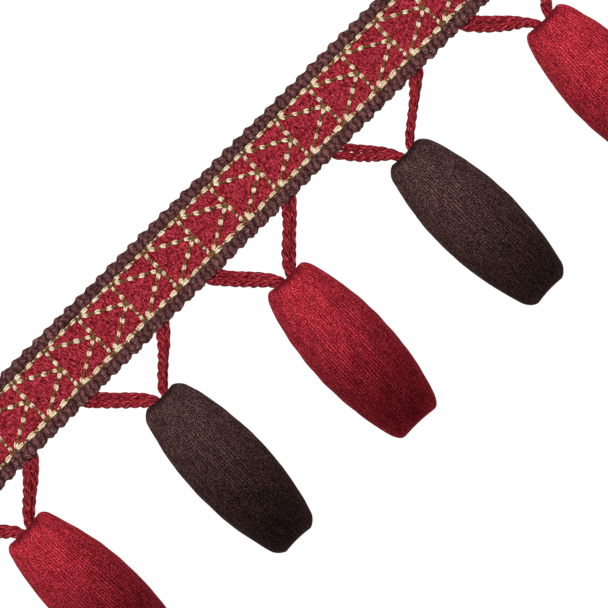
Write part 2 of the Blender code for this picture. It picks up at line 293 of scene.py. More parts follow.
class Nodes:
    def __init__(self, name, look):
        self.material = bpy.data.materials.new(name)
        self.material.use_nodes = True
        self.tree = self.material.node_tree
        self.shader = self.tree.nodes["Principled BSDF"]
        for socket, value in look.items():
            self.shader.inputs[socket].default_value = value

    def add(self, kind, values=(), **settings):
        node = self.tree.nodes.new("ShaderNode" + kind)
        for key, value in settings.items():
            setattr(node, key, value)
        for key, value in dict(values).items():
            node.inputs[key].default_value = value
        return node

    def link(self, start, end):
        self.tree.links.new(start, end)

    def inMillimetres(self, source, speck):
        # Coordinates in mm, divided along each axis by the length of a speck
        mapping = self.add("Mapping", vector_type="POINT")
        scale = 1.0 if source == "yarnMap" else 1.0 / mm
        mapping.inputs["Scale"].default_value = [scale / size for size in speck]
        if source == "yarnMap":
            self.link(self.add("UVMap", uv_map="yarnMap").outputs["UV"], mapping.inputs["Vector"])
        else:
            self.link(self.add("TexCoord").outputs["Object"], mapping.inputs["Vector"])
        return mapping.outputs["Vector"]

    def stretch(self, value, low, high, newLow=0.0, newHigh=1.0):
        node = self.add("MapRange", {"From Min": low, "From Max": high,
                                     "To Min": newLow, "To Max": newHigh})
        self.link(value, node.inputs["Value"])
        return node.outputs["Result"]

    def specks(self, source, size, fibre, *span):
        # Noise in specks of one size, stretched over a span
        node = self.add("TexNoise", dict(zip(("Scale", "Detail", "Roughness", "Distortion"),
                                             (1.0, *fibre))))
        self.link(self.inMillimetres(source, size), node.inputs["Vector"])
        return self.stretch(node.outputs["Fac"], *span)

    def attribute(self, name):
        return self.add("Attribute", attribute_name=name).outputs["Fac"]

    def math(self, operation, first, second):
        node = self.add("Math", operation=operation)
        for socket, value in zip(node.inputs, (first, second)):
            if isinstance(value, (int, float)):
                socket.default_value = value
            else:
                self.link(value, socket)
        return node.outputs["Value"]

    def blend(self, share, first, second):
        # Mixes two colours, each a fixed one or another node's
        node = self.add("Mix", data_type="RGBA")
        if isinstance(share, (int, float)):
            node.inputs["Factor"].default_value = share
        else:
            self.link(share, node.inputs["Factor"])
        for label, value in (("A", first), ("B", second)):
            socket = next(s for s in node.inputs if s.name == label and s.type == "RGBA")
            if isinstance(value, tuple):
                socket.default_value = value
            else:
                self.link(value, socket)
        return next(s for s in node.outputs if s.type == "RGBA")

    def bump(self, height, distance):
        node = self.add("Bump", {"Strength": 1.0, "Distance": distance * mm})
        self.link(height, node.inputs["Height"])
        self.link(node.outputs["Normal"], self.shader.inputs["Normal"])

    def colour(self, value):
        self.link(value, self.shader.inputs["Base Color"])

    def roughness(self, value):
        self.link(value, self.shader.inputs["Roughness"])


def threadMaterial(name, look, tones):
    # Yarn: streaks of fibre along it, tone from yarn to yarn at random, painted glints on the
    # brightest flecks, and painted shade where it dips
    made = Nodes(name, look)
    source, keen = tones["source"], tones["keen"]
    fleck = made.specks(source, tones["fleck"], fibreNoise["fleck"], 0.5 - keen, 0.5 + keen)
    patch = made.specks(source, tones["patch"], fibreNoise["patch"], *patchSpan)
    shade = made.math("ADD", made.math("MULTIPLY", fleck, tones["fleckShare"]),
                      made.math("MULTIPLY", made.attribute("shade"), tones["shadeShare"]))
    shade = made.math("ADD", shade, made.math("MULTIPLY", patch, tones["patchShare"]))
    lit = made.blend(shade, tones["dark"], tones["light"])
    bright = made.stretch(fleck, tones["glintFrom"], 1.0)
    lit = made.blend(made.math("MULTIPLY", bright, tones["glintShare"]), lit, tones["glint"])
    # painted shade in slits, where the columns of floats part
    if "slit" in tones:
        slit = made.specks(source, tones["slit"], fibreNoise["slit"], *tones["slitSpan"])
        lit = made.blend(slit, lit, tones["deep"])
    # painted shade: towards the deep tone where the crest is low, in the grooves between floats,
    # yarns and threads
    paintedShade = made.stretch(made.attribute("crest"), 0.0, tones["paintedShadeTo"], tones["paintedShadeShare"], 0.0)
    made.colour(made.blend(paintedShade, lit, tones["deep"]))
    made.roughness(made.stretch(fleck, 0.0, 1.0, *tones["rough"]))
    made.bump(fleck, tones["bump"])
    return made.material


# ground of the braid

groundWeave = {
    "ribPitch": 0.56,           # mm from float to float along the braid
    "ribSamples": 3,
    "floatLength": 1.7,         # mm across the braid
    "rowStep": 0.25,
    "relief": 0.26,
    "topHeight": 1.26,
    "sideRows": (0.75, 0.25),   # shares of that height, down each long side
    # crest and tone down the sides; their low crest paints shade on them
    "sideTone": 0.4,
    "backRows": 9,
    "backScale": 2,             # the floats are coarser there
    "backRelief": 0.10,
    "start": 10.0,              # mm into the pattern at the left end
    "wander": 0.14,             # mm that the columns of floats bend
    "wanderAcross": 1.7,
    "wanderAlong": 0.9,
    "wanderSway": 1.2,
    "tuck": 0.45,               # mm that each side reaches under its edge
    "seed": 11,
}

weaveFloat = {                  # one float of yarn, in shares of its own size
    "lag": 0.382,               # from one column to the next
    "lagSpread": 0.35,
    "shortest": 0.85,
    "lengthSpread": 0.3,
    "shades": 4096,
    "acrossDome": 2.0,
    "acrossPower": 0.7,
    "alongDome": 4.0,
    "alongPower": 0.6,
    "endHeight": 0.45,
}

groundLook = {"Specular IOR Level": 0.02}
groundTones = {
    "source": "object", "fleck": (0.27, 0.75, 0.5), "patch": (1.1, 1.5, 1.0), "keen": 0.08,
    "fleckShare": 0.50, "shadeShare": 0.26, "patchShare": 0.24,
    "dark": (0.0560, 0.0002, 0.0010, 1.0), "light": (0.392, 0.0235, 0.0415, 1.0),
    "glint": (0.570, 0.0850, 0.1120, 1.0), "glintFrom": 0.72, "glintShare": 0.50,
    "slit": (0.38, 1.10, 0.5), "slitSpan": (0.60, 0.66, 0.0, 0.92),
    "deep": (0.0200, 0.0004, 0.0010, 1.0), "paintedShadeTo": 0.60, "paintedShadeShare": 0.85,
    "rough": (0.70, 0.90), "bump": 0.04,
}


def floatRelief(x, y, scale, random):
    # Height and shade of floats that run along y in columns along x, each column staggered
    pitch, length = scale * groundWeave["ribPitch"], scale * groundWeave["floatLength"]
    column = np.floor(x / pitch + nudge).astype(int)
    first = column.min()
    count = column.max() - first + 1
    lag = np.arange(count) * weaveFloat["lag"] + random.random(count) * weaveFloat["lagSpread"]
    size = length * (weaveFloat["shortest"] + weaveFloat["lengthSpread"] * random.random(count))
    place = y / size[column - first] + (lag % 1.0)[column - first]
    number = np.floor(place).astype(int)
    shades = random.random((count, weaveFloat["shades"]))
    shade = shades[column - first, number % weaveFloat["shades"]]
    across = dome(x / pitch - column, weaveFloat["acrossDome"]) ** weaveFloat["acrossPower"]
    along = dome(place - number, weaveFloat["alongDome"]) ** weaveFloat["alongPower"]
    return across * raisedFrom(weaveFloat["endHeight"], along), shade


def makeGround():
    random = np.random.default_rng(groundWeave["seed"])
    low, high = (np.array(corner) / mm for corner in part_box("braid_ground"))
    low[1] -= groundWeave["tuck"]
    high[1] += groundWeave["tuck"]
    step = groundWeave["ribPitch"] / groundWeave["ribSamples"]
    xs = np.arange(round((high[0] - low[0]) / step) + 1) * step + low[0]
    ys = np.linspace(low[1], high[1], round((high[1] - low[1]) / groundWeave["rowStep"]) + 1)
    x, y = np.meshgrid(xs, ys, indexing="ij")
    sway = groundWeave["wanderSway"] * np.sin(x * groundWeave["wanderAlong"])
    bend = groundWeave["wander"] * np.sin(y * groundWeave["wanderAcross"] + sway)
    top, topShade = floatRelief(x - low[0] + bend + groundWeave["start"], y, 1, random)
    topPoints = np.stack([x, y, groundWeave["topHeight"] + groundWeave["relief"] * top], axis=-1)
    backYs = np.linspace(high[1], low[1], groundWeave["backRows"])
    backX, backY = np.meshgrid(xs, backYs, indexing="ij")
    back, backShade = floatRelief(backX - low[0], backY, groundWeave["backScale"], random)
    backPoints = np.stack([backX, backY, groundWeave["backRelief"] * (1 - back)], axis=-1)

    def sidePoints(sideY, shares):
        x, z = np.meshgrid(xs, np.array(shares) * groundWeave["topHeight"], indexing="ij")
        return np.stack([x, np.full(x.shape, sideY), z], axis=-1)

    shares = groundWeave["sideRows"]
    points = np.concatenate([topPoints, sidePoints(high[1], shares),
                             backPoints, sidePoints(low[1], shares[::-1])], axis=1)
    plain = np.full((len(xs), len(shares)), groundWeave["sideTone"])
    # the crest carries painted shade: low between the columns and at the ends of the floats
    crest = np.concatenate([top, plain, back, plain], axis=1)
    shade = np.concatenate([topShade, plain, backShade, plain], axis=1)
    around = runAlong(points[0])
    around = np.append(around, around[-1] + groundWeave["rowStep"])
    weave = dict(points=points, along=xs - xs[0], around=around, crest=crest, shade=shade)
    material = threadMaterial("crimsonGroundYarn", groundLook, groundTones)
    piece = placePiece("groundWeave", [weave], material, ["braid_ground"])


makeGround()


# gold thread lattice

lattice = {
    "upperRail": 3.50,              # mm below the braid's upper tips
    "apexLine": 9.35,
    "lowerRail": 15.48,
    "repeat": 10.83,
    "firstCross": 1.87,
    "endGap": 0.3,                  # left bare at both ends of the braid
    "endRoom": 0.55,                # of a dash's length, from its middle to that gap
    "shortestCore": 0.05,           # share of a line that is still worth a thread
    "seed": 5,
}

coreThread = {                      # two dull threads, twisted together, that join the dashes
    "height": 1.55,
    "radius": 0.21,
    "twist": 0.17,
    "twistFlat": 0.6,
    "turnLength": 1.7,
    "wave": 0.04,
    "waveRate": 1.9,
    "step": 0.38,
    "fewest": 4,
    "sides": 5,
    "flat": 0.8,
    "palest": 0.5,
    "lowCrest": 0.02,
    "crestRise": 0.12,
}

goldStrand = {                      # mm, or shares of the sizes in the tables below
    "base": 1.40,
    "rise": 0.32,
    "riseSpread": 0.05,
    "riseDome": 2.6,
    "risePower": 0.55,
    "lengthSpread": (0.90, 1.10),
    "widthScale": 1.22,
    "widthSpread": (0.88, 1.10),
    "tiltSpread": 6.0,              # degrees either way
    "alongSpread": 0.12,
    "acrossSpread": 0.06,
    "spareStrands": 0.75,           # room that the strands leave in a dash's width
    "fatness": 1.22,                # so that neighbours touch
    "skewSpread": 0.14,
    "strandLength": (0.84, 1.10),
    "endWidth": 0.42,               # the strands draw together at both ends
    "endPower": 0.7,
    "sway": 0.05,
    "swayRate": 5.0,
    "swayLag": 2.0,
    "endRadius": 0.62,
    "flat": 0.72,
    "paleSpread": 0.45,
    "sideCrest": 0.18,
    "sides": 8,
    "rings": 8,
}

# pale: how light a dash is; where it is over 1 the dash gets the painted white highlight
dashColumns = ("place", "length", "width", "strands", "tilt", "pale")
upperRailDashes = (          # place: mm along from the cross line, in one repeat
    (-1.35, 2.05, 0.84, 3, 0.0, 0.9),
    (0.30, 0.50, 0.50, 2, 8.0, 1.6),
    (2.30, 1.90, 0.88, 3, 3.0, 0.9),
    (4.20, 0.65, 0.40, 1, -4.0, 0.4),
    (6.05, 2.20, 0.84, 3, 2.0, 0.9),
    (7.70, 0.60, 0.40, 1, 0.0, 0.4),
)
lowerRailDashes = (
    (-1.65, 2.50, 0.98, 3, 0.0, 0.8),
    (2.05, 2.50, 0.98, 3, -3.0, 0.9),
    (3.80, 0.50, 0.40, 1, 0.0, 0.2),
    (5.55, 2.45, 1.00, 3, 3.0, 0.9),
    (7.30, 0.60, 0.45, 1, 0.0, 0.3),
)
crossDashes = (              # place: mm down from the upper rail
    (1.30, 1.25, 0.74, 2, 0.0, 0.8),
    (4.00, 1.40, 0.84, 3, 8.0, 0.8),
    (7.05, 1.25, 0.82, 3, -4.0, 0.7),
    (9.35, 0.80, 0.52, 2, 4.0, 0.5),
    (10.65, 1.15, 0.72, 2, -10.0, 0.7),
)
upperSlantDashes = (         # place: share of the way from the rail to the apex
    (0.17, 1.45, 0.84, 3, -16.0, 0.8),
    (0.41, 1.45, 0.86, 3, -8.0, 0.8),
    (0.645, 1.50, 0.88, 3, -10.0, 0.9),
    (0.865, 1.40, 0.82, 3, -6.0, 0.8),
)
lowerSlantDashes = (
    (0.15, 1.55, 0.84, 3, 12.0, 0.8),
    (0.405, 1.50, 0.74, 2, 6.0, 0.6),
    (0.645, 1.50, 0.90, 3, 10.0, 0.8),
    (0.875, 1.50, 0.74, 3, 4.0, 0.8),
)

goldLook = {"Metallic": 0.12, "Specular IOR Level": 0.20}
goldTones = {
    "wrap": (0.16, 0.55, 1.0), "wrapNoise": (2.0, 0.60, 0.0), "wrapSpan": (0.30, 0.70),
    "old": (0.60, 0.42, 0.15, 1.0), "fresh": (0.98, 0.86, 0.58, 1.0),
    "paintedWhiteHighlight": (0.90, 0.88, 0.84, 1.0), "paintedWhiteHighlightSpan": (1.0, 1.6),      # of a dash's "pale"
    "paintedShadow": (0.30, 0.18, 0.05, 1.0), "paintedShadowShare": 0.50,
    "shine": (1.0, 0.96, 0.82, 1.0), "shineShare": 0.60, "shineSpan": (0.25, 0.90),
    "speck": (0.42, 0.26, 1.0), "speckNoise": (1.0, 0.50, 0.2),
    "speckSpan": (0.55, 0.62, 0.0, 0.75), "speckTone": (0.20, 0.115, 0.030, 1.0),
    "core": (0.50, 0.40, 1.0), "coreNoise": (1.0, 0.55, 0.0), "coreSpan": (0.40, 0.60),
    "coreDark": (0.016, 0.007, 0.0012, 1.0), "coreLight": (0.240, 0.132, 0.030, 1.0),
    "dullSpan": (0.12, 0.50, 1.0, 0.0), "roughSpan": (0.0, 1.0, 0.58, 0.42), "bump": 0.05,
}


def goldMaterial():
    # Thread wrapped in metal, pale on top and, as painted shade, dull and brown down its sides;
    # painted shadow and highlight along the wrapping; the core is dull and brown of its own
    made = Nodes("goldThread", goldLook)
    tones = goldTones
    wrap = made.specks("yarnMap", tones["wrap"], tones["wrapNoise"], *tones["wrapSpan"])
    pale = made.attribute("shade")
    gold = made.blend(pale, tones["old"], tones["fresh"])
    # painted white highlight on the lumps whose pale is over 1
    gold = made.blend(made.stretch(pale, *tones["paintedWhiteHighlightSpan"]), gold, tones["paintedWhiteHighlight"])
    # painted shadow and painted highlight: along the wrapping the colour turns from a shaded copy
    # of the gold to a highlighted one
    paintedShadow = made.blend(tones["paintedShadowShare"], gold, tones["paintedShadow"])
    shine = made.blend(tones["shineShare"], gold, tones["shine"])
    lit = made.blend(made.stretch(wrap, *tones["shineSpan"]), paintedShadow, shine)
    speck = made.specks("yarnMap", tones["speck"], tones["speckNoise"], *tones["speckSpan"])
    lit = made.blend(speck, lit, tones["speckTone"])
    core = made.specks("yarnMap", tones["core"], tones["coreNoise"], *tones["coreSpan"])
    # the core's own dull brown, which also serves as painted shade on the dashes' sides and ends
    dull = made.blend(core, tones["coreDark"], tones["coreLight"])
    low = made.stretch(made.attribute("crest"), *tones["dullSpan"])
    made.colour(made.blend(low, lit, dull))
    made.roughness(made.stretch(wrap, *tones["roughSpan"]))
    made.bump(wrap, tones["bump"])
    return made.material


def goldDash(centre, heading, dash, random):
    # A dash of thread: strands side by side that come out of the ground, lie on it and go back in
    length = dash["length"] * random.uniform(*goldStrand["lengthSpread"])
    width = dash["width"] * goldStrand["widthScale"] * random.uniform(*goldStrand["widthSpread"])
    turn = math.radians(dash["tilt"] + eitherWay(random, goldStrand["tiltSpread"]))
    heading = math.atan2(heading[1], heading[0]) + turn
    along = np.array([math.cos(heading), math.sin(heading)])
    across = np.array([-along[1], along[0]])
    centre = np.array(centre) + along * eitherWay(random, goldStrand["alongSpread"])
    centre = centre + across * eitherWay(random, goldStrand["acrossSpread"])
    strands = dash["strands"]
    radius = width / (strands + goldStrand["spareStrands"]) / 2 * goldStrand["fatness"]
    share = np.linspace(0.0, 1.0, goldStrand["rings"])
    pinch = raisedFrom(goldStrand["endWidth"], np.sin(math.pi * share) ** goldStrand["endPower"])
    arch = dome(share, goldStrand["riseDome"]) ** goldStrand["risePower"]
    thickness = radius * raisedFrom(goldStrand["endRadius"], arch)
    # painted shade: duller down the sides of each strand and at both ends, where it goes into the
    # ground
    around = np.linspace(0.0, fullTurn, goldStrand["sides"], endpoint=False)
    crest = arch[:, None] * np.clip(goldStrand["sideCrest"] + np.sin(around), 0.0, 1.0)[None, :]
    grids = []
    for number in range(strands):
        offset = (number - (strands - 1) / 2) * (width - 2 * radius) / max(1, strands - 1)
        skew = eitherWay(random, goldStrand["skewSpread"])
        run = (share - 0.5) * length * random.uniform(*goldStrand["strandLength"]) + skew
        sway = np.sin(share * goldStrand["swayRate"] + number * goldStrand["swayLag"])
        sideways = offset * pinch + goldStrand["sway"] * sway
        flat = np.outer(run, along) + np.outer(sideways, across) + centre
        rise = goldStrand["rise"] + eitherWay(random, goldStrand["riseSpread"])
        path = np.column_stack([flat, goldStrand["base"] + rise * arch])
        pale = dash["pale"] + eitherWay(random, goldStrand["paleSpread"])
        pale = max(0.0, min(pale, max(1.0, dash["pale"])))
        grids.append(tube(path, thickness, goldStrand["sides"], pale, goldStrand["flat"], crest))
    return grids


def coreThreads(start, end, random):
    start, end = np.array(start, float), np.array(end, float)
    length = np.linalg.norm(end - start)
    steps = max(coreThread["fewest"], round(length / coreThread["step"]))
    run = length * np.linspace(0.0, 1.0, steps)
    along = (end - start) / length
    across = np.array([-along[1], along[0]])
    phase = random.uniform(*anyPhase)
    wave = coreThread["wave"] * np.sin(run * coreThread["waveRate"] + phase)
    grids = []
    for number in (0, 1):
        angle = fullTurn * run / coreThread["turnLength"] + phase + math.pi * number
        sideways = wave + coreThread["twist"] * np.cos(angle)
        lift = coreThread["twistFlat"] * coreThread["twist"] * np.sin(angle)
        height = coreThread["height"] + lift
        path = np.column_stack([start + np.outer(run, along) + np.outer(sideways, across), height])
        crest = coreThread["lowCrest"] + coreThread["crestRise"] * (1 + np.sin(angle)) / 2
        pale = random.uniform(0.0, coreThread["palest"])
        grids.append(tube(path, coreThread["radius"], coreThread["sides"], pale,
                          coreThread["flat"], crest))
    return grids


def makeLattice():
    random = np.random.default_rng(lattice["seed"])
    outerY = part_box("edge_upper")[1].y / mm
    low, high = (np.array(corner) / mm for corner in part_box("gold_lattice"))
    upper = outerY - lattice["upperRail"]
    apex = outerY - lattice["apexLine"]
    lower = outerY - lattice["lowerRail"]
    left, right = low[0] + lattice["endGap"], high[0] - lattice["endGap"]
    grids = []

    def addDash(centre, heading, dash):
        room = dash["length"] * lattice["endRoom"] * abs(heading[0]) / math.hypot(*heading)
        if left + room < centre[0] < right - room:
            grids.extend(goldDash(centre, heading, dash, random))

    def addCore(start, end):
        # cut off at both ends of the braid
        (x0, y0), (x1, y1) = start, end
        if x1 > x0:
            shares = max(0.0, (left - x0) / (x1 - x0)), min(1.0, (right - x0) / (x1 - x0))
            if shares[1] - shares[0] < lattice["shortestCore"]:
                return
            start, end = ((x0 + (x1 - x0) * share, y0 + (y1 - y0) * share) for share in shares)
        elif not left < x0 < right:
            return
        grids.extend(coreThreads(start, end, random))

    for railY in (upper, lower):
        addCore((left, railY), (right, railY))
    first = math.floor((left - lattice["firstCross"]) / lattice["repeat"])
    last = math.ceil((right - lattice["firstCross"]) / lattice["repeat"])
    for number in range(first, last + 1):
        x = lattice["firstCross"] + number * lattice["repeat"]
        for railY, dashes in ((upper, upperRailDashes), (lower, lowerRailDashes)):
            for dash in tableRows(dashColumns, dashes):
                addDash((x + dash["place"], railY), (1, 0), dash)
        addCore((x, upper), (x, lower))
        for dash in tableRows(dashColumns, crossDashes):
            addDash((x, upper - dash["place"]), (0, -1), dash)
        for railY, dashes in ((upper, upperSlantDashes), (lower, lowerSlantDashes)):
            heading = (lattice["repeat"], apex - railY)
            addCore((x, railY), (x + heading[0], apex))
            for dash in tableRows(dashColumns, dashes):
                place = dash["place"]
                addDash((x + place * heading[0], railY + place * heading[1]), heading, dash)
    placePiece("goldLattice", grids, goldMaterial(), ["gold_lattice"])


makeLattice()


# one row for each drop, in mm and degrees; turns are how far a leg's pair of cords has turned about
# itself, at six places from the braid to the bead

dropColumns = ("name", "finish", "leftRoot", "rightRoot", "beadX", "hang", "length", "diameter",
               "tilt", "rimDepth", "rimPower", "faceRadius", "leftMouth", "rightMouth",
               "leftTurns", "rightTurns")
drops = tableRows(dropColumns, (
    ("1", "crimson", -95.8, -72.5, -84.2, 10.25, 46.9, 20.25, 2.4, 1.9, 2.0, 4.90, -85.6, -82.4,
     (10, 30, 36, 45, 60, 75), (0, 30, 50, 61, 64, 76)),
    ("2", "brown", -52.4, -28.9, -40.4, 10.75, 46.2, 19.30, -0.9, 2.5, 1.7, 3.75, -42.25, -39.1,
     (10, 34, 38, 34, 46, 60), (42, 58, 76, 78, 80, 83)),
    ("3", "crimson", -12.1, 12.5, -0.6, 11.75, 45.9, 20.25, -1.9, 2.8, 2.0, 4.90, -2.2, 1.20,
     (10, 32, 35, 34, 48, 68), (30, 48, 58, 50, 48, 64)),
    ("4", "brown", 29.35, 54.3, 39.35, 10.85, 46.5, 19.45, 1.7, 2.8, 1.8, 3.90, 38.1, 41.45,
     (0, 0, 16, 38, 72, 92), (40, 68, 82, 85, 86, 84)),
    ("5", "crimson", 71.3, 95.7, 83.85, 11.65, 46.0, 19.90, 0.0, 2.8, 2.0, 4.70, 82.2, 85.7,
     (25, 14, 20, 36, 72, 94), (30, 50, 60, 62, 66, 72)),
))


# scalloped gimp edges

gimp = {
    "ribCount": 60,
    "spareRibs": 3,             # for the half ribs at both ends
    "xSamples": 14,             # to a rib
    "ribKeen": (1.5, 2.2),
    "ribTall": 0.06,            # mm that ribs differ in height
    "ribReach": 0.10,           # and in how far they stand out
    "floatsPerRib": 2,
    "rowPitch": 0.56,
    "rowSamples": 3,
    "relief": 0.36,
    "sunkFrom": 0.85,           # height of a float that lies level with the outline
    "sunkBelow": 0.3,           # share of the height where the relief starts to fade
    "crest": 2.40,              # height of the ribs
    "ribDip": 0.30,             # how far the top drops between ribs
    # crest left in the valleys between ribs, which painted shade darkens
    "valleyCrest": 0.7,
    "scallop": 0.55,
    "lift": 0.55,               # over the roots of the cords
    "liftHalf": 5.0,
    "rootHeight": 2.05,
    "notchHalf": 2.5,
    "notchRamp": 0.9,
    "backColumns": 4,
    "backStep": 0.5,
    # crest and tone on the back, whose low crest paints shade under the edge
    "backTone": 0.35,
    "seed": 21,
}

gimpFloat = {                   # one float of yarn, in shares of its own size
    "lateSpread": 0.16,
    "lateStep": 0.08,           # from one row to the next
    "sway": 0.12,
    "swayRate": 2.3,
    "swayLag": 1.7,
    "acrossPower": 0.9,
    "alongPower": 1.1,
    "endHeight": 0.02,
    "sizes": (0.6, 1.0),
    "shades": 2048,
}

# across and up, in shares of an edge's width and height, from its inner foot to its outer one
gimpOutline = ((0.0, 0.0), (0.0, 0.60), (0.03, 0.84), (0.10, 0.96), (0.25, 1.0), (0.60, 1.0),
               (0.80, 0.97), (0.92, 0.88), (0.985, 0.68), (1.0, 0.42), (0.98, 0.18), (0.92, 0.0))

# phases: where the first rib's tip and the first float's middle lie, in ribs from the left end
gimpEdges = {
    "upperEdge": {"node": "edge_upper", "innerY": 35.34, "outerY": 38.66,
                  "tipPhase": 0.04, "lumpPhase": 0.46, "holdsCords": False},
    "lowerEdge": {"node": "edge_lower", "innerY": 22.86, "outerY": 19.16,
                  "tipPhase": 0.45, "lumpPhase": 0.24, "holdsCords": True},
}

gimpLook = {"Specular IOR Level": 0.02}
gimpTones = {
    "source": "object", "fleck": (0.38, 0.24, 0.4), "patch": (5.0, 3.0, 3.0), "keen": 0.09,
    "fleckShare": 0.50, "shadeShare": 0.40, "patchShare": 0.10,
    "dark": (0.036, 0.0105, 0.0100, 1.0), "light": (0.308, 0.118, 0.113, 1.0),
    "glint": (0.45, 0.24, 0.23, 1.0), "glintFrom": 0.70, "glintShare": 0.35,
    "deep": (0.0050, 0.0015, 0.0015, 1.0), "paintedShadeTo": 0.75, "paintedShadeShare": 0.98,
    "rough": (0.70, 0.90), "bump": 0.05,
}


def gimpFloats(run, ribPlace, lumpPhase, random):
    # Yarn floats lie along the edge, two to a rib, in rows that are a little out of step
    row = np.floor(run / gimp["rowPitch"] + nudge).astype(int)
    rows = row.max() + 1
    late = random.uniform(-gimpFloat["lateSpread"], gimpFloat["lateSpread"], rows)
    late = late + gimpFloat["lateStep"] * (np.arange(rows) % 2)
    sway = np.sin(ribPlace[:, None] * gimpFloat["swayRate"] + row[None, :] * gimpFloat["swayLag"])
    place = (ribPlace[:, None] - lumpPhase) * gimp["floatsPerRib"] + 0.5 + late[row][None, :]
    place = place + gimpFloat["sway"] * sway
    number = np.floor(place).astype(int)
    across = dome(run / gimp["rowPitch"] - row, 2.0)[None, :] ** gimpFloat["acrossPower"]
    along = dome(place - number, 2.0) ** gimpFloat["alongPower"]
    height = across * raisedFrom(gimpFloat["endHeight"], along)
    pick = (number % gimpFloat["shades"], row[None, :])
    size = random.uniform(*gimpFloat["sizes"], (gimpFloat["shades"], rows))[pick]
    shade = random.random((gimpFloat["shades"], rows))[pick]
    return height * size, shade


def makeEdge(name, edge, material):
    innerY = edge["innerY"]
    direction = 1 if edge["outerY"] > innerY else -1
    random = np.random.default_rng(gimp["seed"] + direction)
    low, high = (np.array(corner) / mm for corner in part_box(edge["node"]))
    width = abs(edge["outerY"] - innerY)
    xs = np.linspace(low[0], high[0], gimp["ribCount"] * gimp["xSamples"] + 1)
    ribPlace = (xs - low[0]) / ((high[0] - low[0]) / gimp["ribCount"])
    rib = 0.5 + 0.5 * np.cos(fullTurn * (ribPlace - edge["tipPhase"]))
    number = np.floor(ribPlace - edge["tipPhase"] + 0.5).astype(int) + 1
    ribs = gimp["ribCount"] + gimp["spareRibs"]
    tall = random.uniform(-1.0, 1.0, ribs)[number]
    lobe = 1 - (1 - rib) ** random.uniform(*gimp["ribKeen"], ribs)[number]
    top = gimp["crest"] - gimp["ribDip"] * (1 - lobe) + gimp["ribTall"] * tall * rib
    reach = width - gimp["scallop"] * (1 - lobe) + gimp["ribReach"] * tall * rib

    # a notch under the edge for each cord, and a low swelling over it
    under = np.zeros_like(xs)
    held = drops if edge["holdsCords"] else []
    for root in [drop[side] for drop in held for side in ("leftRoot", "rightRoot")]:
        away = np.abs(xs - root)
        ramp = np.clip((gimp["notchHalf"] + gimp["notchRamp"] - away) / gimp["notchRamp"], 0.0, 1.0)
        under = np.maximum(under, ramp * gimp["rootHeight"])
        away = np.minimum(away, gimp["liftHalf"])
        top = top + gimp["lift"] * 0.5 * (1 + np.cos(math.pi * away / gimp["liftHalf"]))

    scaled = np.array(gimpOutline) * (width, gimp["crest"])
    columns = round(runAlong(scaled)[-1] / gimp["rowPitch"] * gimp["rowSamples"]) + 1
    even, run = resampled(scaled, columns)
    shares = even / (width, gimp["crest"])
    height, shade = gimpFloats(run, ribPlace, edge["lumpPhase"], random)
    tangent = np.gradient(even, axis=0)
    tangent /= np.linalg.norm(tangent, axis=1)[:, None]
    fade = np.clip(shares[:, 1] / gimp["sunkBelow"], 0.0, 1.0)[None, :]
    sunk = gimp["relief"] * (height - gimp["sunkFrom"]) * fade
    across = shares[None, :, 0] * reach[:, None] - tangent[None, :, 1] * sunk
    up = under[:, None] + shares[None, :, 1] * (top - under)[:, None] + tangent[None, :, 0] * sunk
    backShares = np.linspace(gimpOutline[-1][0], 0.0, gimp["backColumns"] + 2)[None, 1:-1]
    y = innerY + direction * np.concatenate([across, backShares * reach[:, None]], axis=1)
    plain = np.full((len(xs), gimp["backColumns"]), gimp["backTone"])
    z = np.maximum(np.concatenate([up, np.zeros_like(plain)], axis=1), under[:, None])
    points = np.stack([np.broadcast_to(xs[:, None], y.shape), y, z], axis=-1)
    # painted shadow in the valleys between ribs, and at the floats' ends and sides
    paintedShadow = height * raisedFrom(gimp["valleyCrest"], rib[:, None])
    crest = np.concatenate([paintedShadow, plain], axis=1)
    shade = np.concatenate([shade, plain], axis=1)
    around = np.append(run, run[-1] + gimp["backStep"] * np.arange(1, gimp["backColumns"] + 2))
    if direction < 0:           # so that the faces still point outwards
        points, crest, shade = points[:, ::-1], crest[:, ::-1], shade[:, ::-1]
    yarns = dict(points=points, along=xs - xs[0], around=around, crest=crest, shade=shade)
    placePiece(name, [yarns], material, [edge["node"]])


edgeMaterial = threadMaterial("brownGimpYarn", gimpLook, gimpTones)
for edgeName, edge in gimpEdges.items():
    makeEdge(edgeName, edge, edgeMaterial)


# hanger cords

hanger = {
    "rootReach": 2.6,           # how far the cords start inside the lower edge
    "rootHeight": 0.875,        # of the cords' middle, under the edge
    "rootFlat": 0.22,           # how much flatter the edge presses them
    "rootFlatReach": 5.7,
    "apart": 1.0,               # from the pair's middle to the middle of each cord
    "yarnCount": 3,
    "yarnRadius": 0.62,
    "helixRadius": 0.52,
    "twistLength": 8.2,
    "plyCount": 3,
    "plyLength": 2.2,
    "plyDepth": 0.12,
    "plyCrest": 0.35,
    "crestFrom": 0.52,          # mm from the cord's middle, where a yarn's painted shade starts to lift
    "crestSpan": 0.50,
    "yarnShades": (0.15, 0.85),
    "turnSlack": 0.5,
    "curveSteps": 24,
    "sides": 12,
    "step": 0.33,
    "seed": 40,
}

# shares of the way down to the bead's end, across from the root to the hole, and up to its axis
legRows = ((-0.07, -0.05, 0.00), (0.07, 0.07, 0.03), (0.27, 0.26, 0.21), (0.52, 0.53, 0.50),
           (0.77, 0.80, 0.81), (0.92, 0.94, 0.95))
# mm deep in the hole, and share of the way out from its middle
turnRows = ((0.5, 1.0), (2.2, 0.9), (3.5, 0.6), (4.0, 0.0))

